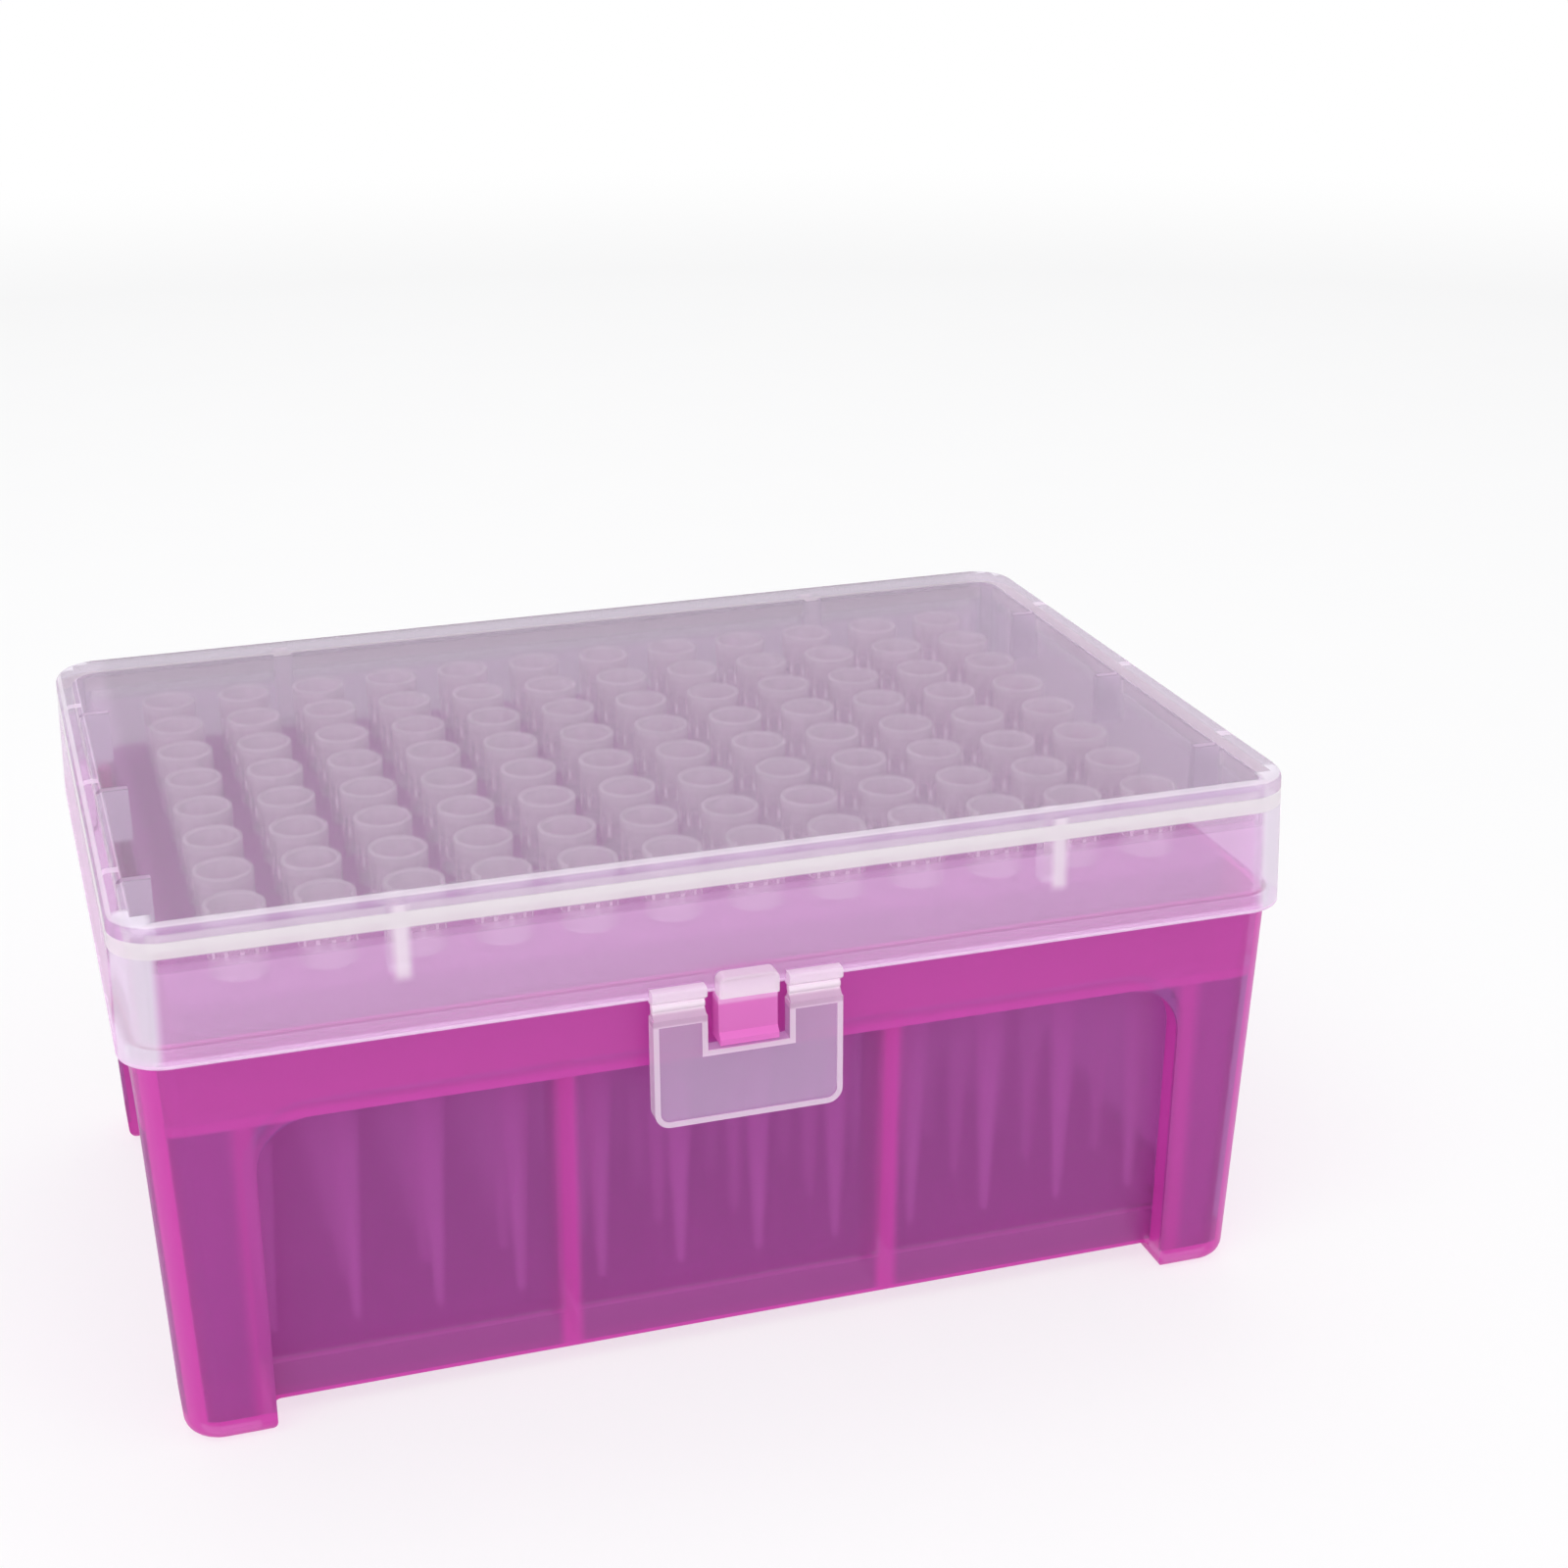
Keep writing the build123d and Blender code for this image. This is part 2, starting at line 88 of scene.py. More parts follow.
class Bench:
    """A node tree that is laid out one node at a time."""

    def __init__(self, owner: bpy.types.Material | bpy.types.World) -> None:
        """Empties the owner's tree.

        Args:
            owner: the material or world that the tree belongs to.
        """
        owner.use_nodes = True
        self.owner = owner
        self.tree = owner.node_tree
        self.tree.nodes.clear()

    def add(self, kind: str, inputs: dict[Any, Any] | None = None, **settings: Any) -> bpy.types.Node:
        """Adds a node, sets it up and feeds its sockets.

        Args:
            kind: the node's type without its "ShaderNode" prefix.
            inputs: socket name or number, and the value, colour or output socket that feeds it.
            settings: attributes of the node itself.

        Returns:
            The new node.
        """
        node = self.tree.nodes.new("ShaderNode" + kind)
        for key, value in settings.items():
            setattr(node, key, value)
        for key, value in (inputs or {}).items():
            if isinstance(value, Socket):
                self.tree.links.new(value, node.inputs[key])
            elif isinstance(value, tuple):
                node.inputs[key].default_value = (*value, 1.0)
            else:
                node.inputs[key].default_value = value
        return node

    def math(self, operation: str, *values: Socket | float) -> Socket:
        """One sum on numbers or sockets, and its result's socket."""
        return self.add("Math", dict(enumerate(values)), operation=operation).outputs[0]

    def above(self, value: Socket, level: float, blur: float = EDGE) -> Socket:
        """One where a value is over a level and nought where it is under, with a smooth step between."""
        inputs = {"Value": value, "From Min": level - blur / 2, "From Max": level + blur / 2}
        return self.add("MapRange", inputs, interpolation_type="SMOOTHSTEP").outputs["Result"]

    def below(self, value: Socket, level: float, blur: float = EDGE) -> Socket:
        """One where a value is under a level and nought where it is over, with a smooth step between."""
        inputs = {"Value": value, "From Min": level + blur / 2, "From Max": level - blur / 2}
        return self.add("MapRange", inputs, interpolation_type="SMOOTHSTEP").outputs["Result"]

    def within(self, value: Socket, low: float, high: float, blur: float = EDGE) -> Socket:
        """One where a value is between two levels."""
        return self.math("MULTIPLY", self.above(value, low, blur), self.below(value, high, blur))

    def both(self, *masks: Socket) -> Socket:
        """Where all masks hold.

        Args:
            masks: values from nought to one.

        Returns:
            Their product, which is one only where each of them is.
        """
        result = masks[0]
        for mask in masks[1:]:
            result = self.math("MULTIPLY", result, mask)
        return result

    def mix(self, share: Socket, one: Any, other: Any) -> Socket:
        """A number or colour between two, by share.

        Args:
            share: nought for one, one for other.
            one: a number, a colour or a socket.
            other: a number or a colour.

        Returns:
            The result's socket.
        """
        kind = MixKind.COLOUR if isinstance(other, tuple) else MixKind.NUMBER
        data_type, sockets, result = kind.value
        inputs = dict(zip(sockets, (share, one, other)))
        return self.add("Mix", inputs, data_type=data_type).outputs[result]

    def place(self) -> tuple[Socket, Socket, Socket, Socket]:
        """The surface point in the part's own frame.

        Returns:
            The point itself and its x, y and z, in metres.
        """
        here = self.add("TexCoord").outputs["Object"]
        x, y, z = self.add("SeparateXYZ", {0: here}).outputs
        return here, x, y, z

    def grain(self, per_metre: float, detail: float = 2.0) -> Socket:
        """A cloudy value about a half.

        Args:
            per_metre: how many clouds go in a metre.
            detail: how many finer layers are added.

        Returns:
            The value's socket.
        """
        here = self.place()[0]
        return self.add("TexNoise", {"Vector": here, "Scale": per_metre, "Detail": detail}).outputs[0]

    def bump(self, height: Socket, depth: float, strength: float) -> Socket:
        """The normal of a surface with a fine relief.

        Args:
            height: the relief, from nought to one.
            depth: how deep it is, in metres.
            strength: how much of it is felt.

        Returns:
            The normal's socket.
        """
        return self.add("Bump", {"Height": height, "Distance": depth, "Strength": strength}).outputs[0]

    def finish(self, surface: Socket) -> Any:
        """Joins a surface shader to the output.

        Args:
            surface: the shader's socket.

        Returns:
            The material or world, ready to use.
        """
        kind = "OutputWorld" if isinstance(self.owner, bpy.types.World) else "OutputMaterial"
        self.add(kind, {"Surface": surface})
        return self.owner


@dataclass(frozen=True)
class Outline:
    """A drafted block: its half sizes at a level, and how they grow with height."""

    half_x: float
    half_y: float
    level: float
    slope: float

    def depth(self, bench: Bench) -> tuple[Socket, Socket]:
        """How deep a point lies inside the block.

        Args:
            bench: the tree to lay the sums out in.

        Returns:
            The distance to the nearer side, and to the other side, which is small only at a corner.
        """
        _, x, y, z = bench.place()
        lean = bench.math("MULTIPLY", bench.math("SUBTRACT", z, self.level), self.slope)
        inside = [
            bench.math("SUBTRACT", bench.math("ADD", lean, half), bench.math("ABSOLUTE", value))
            for half, value in ((self.half_x, x), (self.half_y, y))
        ]
        return bench.math("MINIMUM", *inside), bench.math("MAXIMUM", *inside)


@dataclass(frozen=True)
class Milk:
    """How cloudy a stretch of plastic is on each face, and in what colour; on some stretches that colour
    carries painted highlight.
    """

    colour: Colour
    haze: float


@dataclass(frozen=True)
class ClearPlastic:
    """A see-through moulding: part of the light goes straight on, the rest meets its milk."""

    slot: Slot
    plain: Milk
    tint: Colour
    shade: Colour
    blur: float = 0.0
    bend: float = 1.03
    roughness: float = 0.34
    relief: float = 0.0015 * MM
    relief_per_metre: float = 700.0
    relief_strength: float = 0.2
    cloud: float = 0.05
    clouds_per_metre: float = 55.0
    deeper: float = 0.94
    ior: float = 1.49

    def stretches(self, bench: Bench) -> list[tuple[Socket, Milk]]:
        """The places whose milk differs from the rest, each as a mask and what it has there."""
        return []

    def passed(self, bench: Bench) -> Socket | Colour:
        """The colour that each face gives to the light that goes straight on."""
        return self.tint

    def softness(self, bench: Bench) -> Socket | float:
        """How far each face scatters the light that goes straight on."""
        return self.blur

    def straight(self, bench: Bench) -> bpy.types.Node:
        """The shader for the light that isn't caught by the milk.

        Args:
            bench: the tree that it goes in.

        Returns:
            The shader's node: glass where the plastic blurs, and plain clear where it doesn't.
        """
        if self.blur:
            inputs = {"Color": self.passed(bench), "Roughness": self.softness(bench), "IOR": self.bend}
            return bench.add("BsdfGlass", inputs)
        return bench.add("BsdfTransparent", {"Color": self.passed(bench)})

    def build(self) -> bpy.types.Material:
        """Lays out the nodes.

        Returns:
            The material.
        """
        bench = Bench(bpy.data.materials.new(self.slot.value))
        uneven = bench.math("SUBTRACT", bench.grain(self.clouds_per_metre), 0.5)
        haze = bench.math("MULTIPLY_ADD", uneven, self.cloud, self.plain.haze)
        deeper = tuple(self.deeper * part for part in self.plain.colour)
        colour = bench.mix(bench.grain(self.clouds_per_metre * 2), self.plain.colour, deeper)
        for mask, milk in self.stretches(bench):
            haze = bench.mix(mask, haze, milk.haze)
            colour = bench.mix(mask, colour, milk.colour)
        normal = bench.bump(bench.grain(self.relief_per_metre), self.relief, self.relief_strength)
        body = bench.add(
            "BsdfPrincipled",
            {"Base Color": colour, "Roughness": self.roughness, "IOR": self.ior, "Normal": normal},
        )
        straight = self.straight(bench)
        seen = bench.add("MixShader", {0: haze, 1: straight.outputs[0], 2: body.outputs[0]})
        lit = bench.add("BsdfTransparent", {"Color": self.shade})
        shadow = bench.add("LightPath").outputs["Is Shadow Ray"]
        both = bench.add("MixShader", {0: shadow, 1: seen.outputs[0], 2: lit.outputs[0]})
        return bench.finish(both.outputs[0])


@dataclass(frozen=True)
class LidPlastic(ClearPlastic):
    """Natural polypropylene of the lid: a clear plate, a white band of painted highlight under its edge
    with a painted highlight line along the top edge, and pinker walls.
    """

    slot: Slot = Slot.LID
    plain: Milk = Milk((0.37, 0.36, 0.41), 0.25)
    tint: Colour = (0.84, 0.81, 0.84)
    end_tint: Colour = (0.91, 0.87, 0.91)
    shade: Colour = CLEAR
    blur: float = 0.21
    wall_blur: float = 0.06
    roughness: float = 0.40
    relief: float = 0.0006 * MM
    outline: Outline = Outline(62.55 * MM, 41.7 * MM, 45.2 * MM, -0.0262)
    top: float = 60.6 * MM
    crest: float = 0.6 * MM
    strip: float = 2.1 * MM
    band: float = 3.8 * MM
    under_band: float = 5.2 * MM
    under_fade: float = 0.5 * MM
    wall: float = 2.2 * MM
    wall_fade: float = 0.3 * MM
    plate: float = 1.4 * MM
    plate_fade: float = 0.2 * MM
    corner: float = 4.0 * MM
    corner_fade: float = 1.2 * MM
    rim: float = 0.5 * MM
    proud: float = 0.3 * MM
    end: float = 6.0 * MM
    end_fade: float = 2.0 * MM
    post_x: float = 34.7 * MM
    post_half: float = 0.8 * MM
    post_fade: float = 1.1 * MM
    post_reach: float = 4.5 * MM
    post_foot: float = 51.4 * MM
    foot_fade: float = 1.2 * MM
    rib_pitch: float = 25.5 * MM
    rib_middle: float = -1.5 * MM
    rib_half: float = 0.7 * MM
    rib_clear: float = 8.0 * MM
    rib_foot: float = 53.3 * MM
    wall_milk: Milk = Milk((0.95, 0.65, 0.96), 0.32)
    inner_milk: Milk = Milk((0.84, 0.74, 0.86), 0.62)
    under_milk: Milk = Milk((0.88, 0.63, 0.88), 0.19)
    rib_milk: Milk = Milk((0.84, 0.70, 0.86), 0.45)
    # the whiter corners are partly the curved wall's milk and partly painted highlight
    corner_milk: Milk = Milk((0.82, 0.78, 0.87), 0.64)
    strip_milk: Milk = Milk((0.70, 0.58, 0.77), 0.32)
    post_milk: Milk = Milk((0.94, 0.84, 0.93), 0.66)
    # painted highlight: the white band under the top edge is light painted into the wall's milk
    band_milk: Milk = Milk((0.85, 0.80, 0.83), 0.78)
    # painted highlight: a whiter line along the lid's top outer edge
    crest_highlight: Milk = Milk((0.80, 0.74, 0.82), 0.62)
    rim_milk: Milk = Milk((0.88, 0.66, 0.88), 0.78)
    proud_milk: Milk = Milk((0.94, 0.84, 0.92), 0.58)

    def softness(self, bench: Bench) -> Socket:
        """Softer in the plate than in the walls."""
        plate = bench.above(bench.place()[3], self.top - self.plate - self.plate_fade)
        return bench.mix(plate, self.wall_blur, self.blur)

    def passed(self, bench: Bench) -> Socket:
        """The tint, clearer at the ends, where ribs and walls stand behind each other.

        Args:
            bench: the tree to lay the sums out in.

        Returns:
            The colour's socket.
        """
        x = bench.place()[1]
        ends = bench.above(bench.math("ABSOLUTE", x), self.outline.half_x - self.end, self.end_fade)
        return bench.mix(ends, self.tint, self.end_tint)

    def posts(self, bench: Bench) -> Socket:
        """The two posts behind the front wall and the two behind the back wall.

        Args:
            bench: the tree to lay the sums out in.

        Returns:
            The mask, one there and nought elsewhere.
        """
        _, x, y, z = bench.place()
        low, high = self.post_x - self.post_half, self.post_x + self.post_half
        return bench.both(
            bench.within(bench.math("ABSOLUTE", x), low, high, self.post_fade),
            bench.above(bench.math("ABSOLUTE", y), self.outline.half_y - self.post_reach),
            bench.above(z, self.post_foot, self.foot_fade),
            bench.below(z, self.top - self.plate),
        )

    def ribs(self, bench: Bench) -> Socket:
        """The ribs of the end walls, evenly spaced along Y.

        Args:
            bench: the tree to lay the sums out in.

        Returns:
            The mask, one there and nought elsewhere.
        """
        _, x, y, z = bench.place()
        across = bench.math("PINGPONG", bench.math("SUBTRACT", y, self.rib_middle), self.rib_pitch / 2)
        return bench.both(
            bench.above(bench.math("ABSOLUTE", x), self.outline.half_x - self.end),
            bench.below(bench.math("ABSOLUTE", y), self.outline.half_y - self.rib_clear),
            bench.above(z, self.rib_foot),
            bench.below(across, self.rib_half),
        )

    def stretches(self, bench: Bench) -> list[tuple[Socket, Milk]]:
        """Walls, ribs, corners, strip, posts, band, crest, rim and what stands proud of the wall.

        Args:
            bench: the tree to lay the sums out in.

        Returns:
            Each place as a mask, and the milk that it has there; a later one lies over an earlier one.
        """
        depth, around = self.outline.depth(bench)
        z = bench.place()[3]
        outer = bench.below(depth, self.wall)
        inner = bench.above(depth, self.wall, self.wall_fade)
        corner = bench.below(around, self.corner, self.corner_fade)
        # crest: the top outer edge, where a highlight is painted
        crest = bench.both(bench.below(depth, self.crest), bench.above(z, self.top - self.crest))
        under = bench.within(z, self.top - self.under_band, self.top - self.band, self.under_fade)
        strip = bench.within(z, self.top - self.strip, self.top - self.crest)
        band = bench.within(z, self.top - self.band, self.top - self.strip)
        return [
            (bench.both(outer, bench.below(z, self.top - self.band)), self.wall_milk),
            (bench.both(inner, bench.below(z, self.top - self.plate)), self.inner_milk),
            (bench.both(outer, under), self.under_milk),
            (bench.both(outer, self.ribs(bench)), self.rib_milk),
            # corners: partly painted highlight
            (bench.both(outer, corner), self.corner_milk),
            (bench.both(outer, strip), self.strip_milk),
            (self.posts(bench), self.post_milk),
            # the band under the top edge gets painted highlight
            (bench.both(outer, band), self.band_milk),
            (crest, self.crest_highlight),
            (bench.below(z, self.outline.level + self.rim), self.rim_milk),
            (bench.below(depth, -self.proud), self.proud_milk),
        ]


@dataclass(frozen=True)
class FlapPlastic(ClearPlastic):
    """The lid's plastic in a thinner flap, with painted highlight along its raised border, and whitened
    plastic with painted highlight at its knuckles and beads.
    """

    slot: Slot = Slot.LID
    plain: Milk = Milk((0.70, 0.56, 0.76), 0.36)
    tint: Colour = (0.93, 0.86, 0.93)
    shade: Colour = CLEAR
    front: float = -43.3 * MM
    border: float = 0.12 * MM
    half_width: float = 10.15 * MM
    border_fade: float = 0.06 * MM
    knuckles: float = 42.9 * MM
    knuckle_fade: float = 0.4 * MM
    beads: float = 44.1 * MM
    bead_fade: float = 0.3 * MM
    # painted highlight along the flap's raised border and its sides
    side_highlight: Milk = Milk((0.86, 0.74, 0.86), 0.60)
    border_highlight: Milk = Milk((0.90, 0.76, 0.89), 0.66)
    # knuckles and beads: whitened plastic with painted highlight on their upper faces
    knuckle_milk_and_highlight: Milk = Milk((0.82, 0.66, 0.80), 0.46)
    bead_milk_and_highlight: Milk = Milk((0.96, 0.88, 0.94), 0.72)

    def stretches(self, bench: Bench) -> list[tuple[Socket, Milk]]:
        """The sides, the raised border, the knuckles and the beads on top of them.

        Args:
            bench: the tree to lay the sums out in.

        Returns:
            Each place as a mask, and the milk that it has there; a later one lies over an earlier one.
        """
        _, x, y, z = bench.place()
        sides = bench.above(bench.math("ABSOLUTE", x), self.half_width - self.border, self.border_fade)
        return [
            # border and sides: painted highlight
            (sides, self.side_highlight),
            (bench.below(y, self.front + self.border, self.border_fade), self.border_highlight),
            # knuckles and beads: whitened plastic with painted highlight
            (bench.above(z, self.knuckles, self.knuckle_fade), self.knuckle_milk_and_highlight),
            (bench.above(z, self.beads, self.bead_fade), self.bead_milk_and_highlight),
        ]


@dataclass(frozen=True)
class TrayPlastic(ClearPlastic):
    """Magenta polypropylene: deep in the thin panels, fuller wherever the wall is seen on edge."""

    slot: Slot = Slot.TRAY
    plain: Milk = Milk((0.35, 0.105, 0.335), 0.36)
    tint: Colour = (0.92, 0.62, 0.89)
    shade: Colour = ROSY
    blur: float = 0.60
    outline: Outline = Outline(61.3 * MM, 40.45 * MM, 46.8 * MM, 0.0349)
    skin: float = 0.4 * MM
    step_foot: float = 2.7 * MM
    floor_top: float = 6.8 * MM
    floor_rise: float = 0.1 * MM
    floor_fade: float = 0.6 * MM
    line: float = 0.5 * MM
    line_fade: float = 0.3 * MM
    band_foot: float = 37.2 * MM
    band_fade: float = 1.0 * MM
    hem_drop: float = 0.2 * MM
    hem_rise: float = 0.9 * MM
    hem_fade: float = 0.6 * MM
    leg_fade: float = 2.0 * MM
    column: float = 10.9 * MM
    column_gap: float = 0.2 * MM
    seam: float = 2.2 * MM
    seam_fade: float = 1.8 * MM
    corner_fade: float = 2.6 * MM
    rib_x: float = 18.0 * MM
    rib_half: float = 1.1 * MM
    rib_fade: float = 1.3 * MM
    rib_reach: float = 10.5 * MM
    skirt: float = 2.75 * MM
    lug_reach: float = 0.5 * MM
    lug_top: float = 44.4 * MM
    lug_fade: float = 0.4 * MM
    full_milk: Milk = Milk((0.66, 0.055, 0.44), 0.82)
    floor_milk: Milk = Milk((0.35, 0.055, 0.29), 0.82)
    line_milk: Milk = Milk((0.46, 0.08, 0.38), 0.55)
    proud_milk: Milk = Milk((0.28, 0.08, 0.315), 0.52)
    band_milk: Milk = Milk((0.56, 0.075, 0.42), 0.62)
    seam_milk: Milk = Milk((0.51, 0.06, 0.38), 0.66)
    corner_milk: Milk = Milk((0.49, 0.065, 0.38), 0.64)
    # painted highlight: a brighter line along the band's lower edge
    hem_highlight: Milk = Milk((0.60, 0.065, 0.43), 0.70)
    rib_milk: Milk = Milk((0.60, 0.05, 0.41), 0.72)
    lug_milk: Milk = Milk((0.80, 0.19, 0.61), 0.80)
    # painted highlight on the top of the lug
    lug_top_highlight: Milk = Milk((0.90, 0.42, 0.78), 0.85)

    def column_seam(self, bench: Bench) -> Socket:
        """The column's inner margin, where it is backed by the step down to the panel.

        Args:
            bench: the tree to lay the sums out in.

        Returns:
            The mask, one there and nought elsewhere.
        """
        _, x, y, _ = bench.place()
        sides = []
        for value, half in ((x, self.outline.half_x), (y, self.outline.half_y)):
            out, start = bench.math("ABSOLUTE", value), half - self.column
            sides.append(bench.within(out, start - self.column_gap, start + self.seam, self.seam_fade))
        return bench.math("MAXIMUM", *sides)

    def column_corner(self, bench: Bench) -> Socket:
        """The column's outer margin, round the corner of the tray."""
        around = self.outline.depth(bench)[1]
        return bench.below(around, self.seam, self.corner_fade)

    def ribs(self, bench: Bench) -> Socket:
        """The upright ribs of the long panels.

        Args:
            bench: the tree to lay the sums out in.

        Returns:
            The mask, one there and nought elsewhere.
        """
        _, x, y, _ = bench.place()
        beside = bench.math("ABSOLUTE", bench.math("SUBTRACT", bench.math("ABSOLUTE", x), self.rib_x))
        return bench.both(
            bench.below(beside, self.rib_half, self.rib_fade),
            bench.above(self.outline.depth(bench)[0], self.step_foot),
            bench.above(bench.math("ABSOLUTE", y), self.outline.half_y - self.rib_reach),
        )

    def stretches(self, bench: Bench) -> list[tuple[Socket, Milk]]:
        """Floor and its line, columns, band and its hem, ribs, steps down to the panels, skirt and lug.

        Args:
            bench: the tree to lay the sums out in.

        Returns:
            Each place as a mask, and the milk that it has there; a later one lies over an earlier one.
        """
        depth, _ = self.outline.depth(bench)
        _, _, y, z = bench.place()
        floor = bench.below(z, self.floor_top + self.floor_rise, self.floor_fade)
        line = bench.within(z, self.floor_top, self.floor_top + self.line, self.line_fade)
        proud = bench.below(depth, self.skin)
        band = bench.above(z, self.band_foot, self.band_fade)
        low, high = self.band_foot - self.hem_drop, self.band_foot + self.hem_rise
        hem = bench.within(z, low, high, self.hem_fade)
        leg = bench.below(z, self.band_foot + self.band_fade, self.leg_fade)
        step = bench.within(depth, self.skin, self.step_foot)
        lug = bench.below(y, -(self.outline.half_y + self.lug_reach))
        return [
            (floor, self.floor_milk),
            (line, self.line_milk),
            (proud, self.proud_milk),
            (bench.both(proud, band), self.band_milk),
            (bench.both(proud, self.column_seam(bench), leg), self.seam_milk),
            (bench.both(proud, self.column_corner(bench), leg), self.corner_milk),
            # the hem gets painted highlight
            (bench.both(proud, hem), self.hem_highlight),
            (self.ribs(bench), self.rib_milk),
            (step, self.full_milk),
            (bench.below(z, self.skirt), self.full_milk),
            (lug, self.lug_milk),
            # the lug's top gets painted highlight
            (bench.both(lug, bench.above(z, self.lug_top, self.lug_fade)), self.lug_top_highlight),
        ]


@dataclass(frozen=True)
class RackPlastic(ClearPlastic):
    """The tray's magenta in the rack, cloudier and the same all over."""

    slot: Slot = Slot.RACK
    plain: Milk = Milk((0.42, 0.085, 0.38), 0.6)
    tint: Colour = (0.93, 0.60, 0.88)
    shade: Colour = ROSY


@dataclass(frozen=True)
class Ring:
    """One ring of a turned shape: how far below the mouth, how wide, and whether its ribs show."""

    depth: float
    radius: float
    ribbed: bool = False


@dataclass(frozen=True)
class TipShape:
    """Section of one tip: ribbed collar, tapering shaft, and the bore with its filter seat."""

    length: float = 49.4 * MM
    mouth: float = 3.15 * MM
    lip: float = 0.24 * MM
    lip_turns: tuple[float, ...] = (15.0, 45.0, 75.0)
    collar: float = 7.1 * MM
    collar_foot: float = 3.05 * MM
    neck: float = 2.72 * MM
    shoulder: float = 17.8 * MM
    shoulder_radius: float = 2.12 * MM
    end_radius: float = 0.52 * MM
    orifice: float = 0.29 * MM
    wall: float = 0.45 * MM
    filter_wall: float = 0.32 * MM
    seat: float = 0.28 * MM
    ribs_from: float = 1.0 * MM
    ribs_to: float = 5.1 * MM
    rib_slope: float = 0.25 * MM
    end_round: float = 0.15 * MM
    nozzle: float = 0.9 * MM
    mouth_flare: float = 0.1 * MM

    def outside(self) -> list[Ring]:
        """The outer skin from the mouth down to the end.

        Returns:
            Its rings in that order.
        """
        turns = [math.radians(angle) for angle in self.lip_turns]
        lip = [
            Ring(self.lip * (1 - math.sin(turn)), self.mouth - self.lip * (1 - math.cos(turn)))
            for turn in reversed(turns)
        ]
        fall = (self.mouth - self.collar_foot) / self.collar
        ribs = [
            Ring(depth, self.mouth - fall * depth, ribbed)
            for depth, ribbed in (
                (self.ribs_from, False),
                (self.ribs_from + self.rib_slope, True),
                (self.ribs_to - self.rib_slope, True),
                (self.ribs_to, False),
            )
        ]
        shaft = [
            Ring(self.collar, self.collar_foot),
            Ring(self.collar, self.neck),
            Ring(self.shoulder, self.shoulder_radius),
            Ring(self.length - self.end_round, self.end_radius),
            Ring(self.length, self.end_radius - self.end_round / 3),
        ]
        return lip + [Ring(self.lip, self.mouth)] + ribs + shaft

    def inside(self) -> list[Ring]:
        """The bore from the end back up to the mouth.

        Returns:
            Its rings in that order.
        """
        seat = self.shoulder_radius - self.filter_wall
        return [
            Ring(self.length, self.orifice),
            Ring(self.length - self.nozzle, self.orifice),
            Ring(self.shoulder, seat - self.seat),
            Ring(self.shoulder, seat),
            Ring(self.collar, self.neck - self.wall),
            Ring(self.lip, self.mouth - self.wall - self.mouth_flare),
            Ring(0.0, self.mouth - self.wall + self.mouth_flare),
        ]


@dataclass(frozen=True)
class TipPlastic(ClearPlastic):
    """Natural polypropylene of a tip: bright at the mouth and along its ribs."""

    slot: Slot = Slot.TIP
    plain: Milk = Milk((0.92, 0.78, 0.89), 0.20)
    tint: Colour = (0.98, 0.95, 0.97)
    shade: Colour = CLEAR
    roughness: float = 0.16
    shape: TipShape = TipShape()
    pitch: float = TIP_PITCH
    lip: float = 0.3 * MM
    rib_ends: float = 3.9 * MM
    rib_radius: float = 3.06 * MM
    rib_fade: float = 0.06 * MM
    collar_fade: float = 5.0 * MM
    collar_milk: Milk = Milk((0.97, 0.87, 0.94), 0.50)
    rib_milk: Milk = Milk((0.97, 0.87, 0.94), 0.40)
    rib_end_milk: Milk = Milk((1.0, 0.93, 0.98), 0.80)
    shaft_milk: Milk = Milk((0.92, 0.80, 0.92), 0.42)
    lip_milk: Milk = Milk((0.97, 0.88, 0.94), 0.44)

    def from_axis(self, bench: Bench) -> Socket:
        """How far a point stands from the axis of its own tip.

        Args:
            bench: the tree to lay the sums out in.

        Returns:
            The distance's socket, in metres.
        """
        _, x, y, _ = bench.place()
        along = bench.math("SUBTRACT", bench.math("WRAP", y, 0.0, self.pitch), self.pitch / 2)
        return bench.math("SQRT", bench.math("MULTIPLY_ADD", x, x, bench.math("MULTIPLY", along, along)))

    def stretches(self, bench: Bench) -> list[tuple[Socket, Milk]]:
        """The collar, its ribs and their ends, the shaft and the mouth's lip.

        Args:
            bench: the tree to lay the sums out in.

        Returns:
            Each place as a mask, and the milk that it has there; a later one lies over an earlier one.
        """
        z = bench.place()[3]
        ribs = bench.both(
            bench.within(z, -self.shape.ribs_to, -self.shape.ribs_from),
            bench.above(self.from_axis(bench), self.rib_radius, self.rib_fade),
        )
        return [
            (bench.above(z, -self.collar_fade / 2, self.collar_fade), self.collar_milk),
            (ribs, self.rib_milk),
            (bench.both(ribs, bench.below(z, -self.rib_ends)), self.rib_end_milk),
            (bench.below(z, -self.shape.collar), self.shaft_milk),
            (bench.above(z, -self.lip), self.lip_milk),
        ]


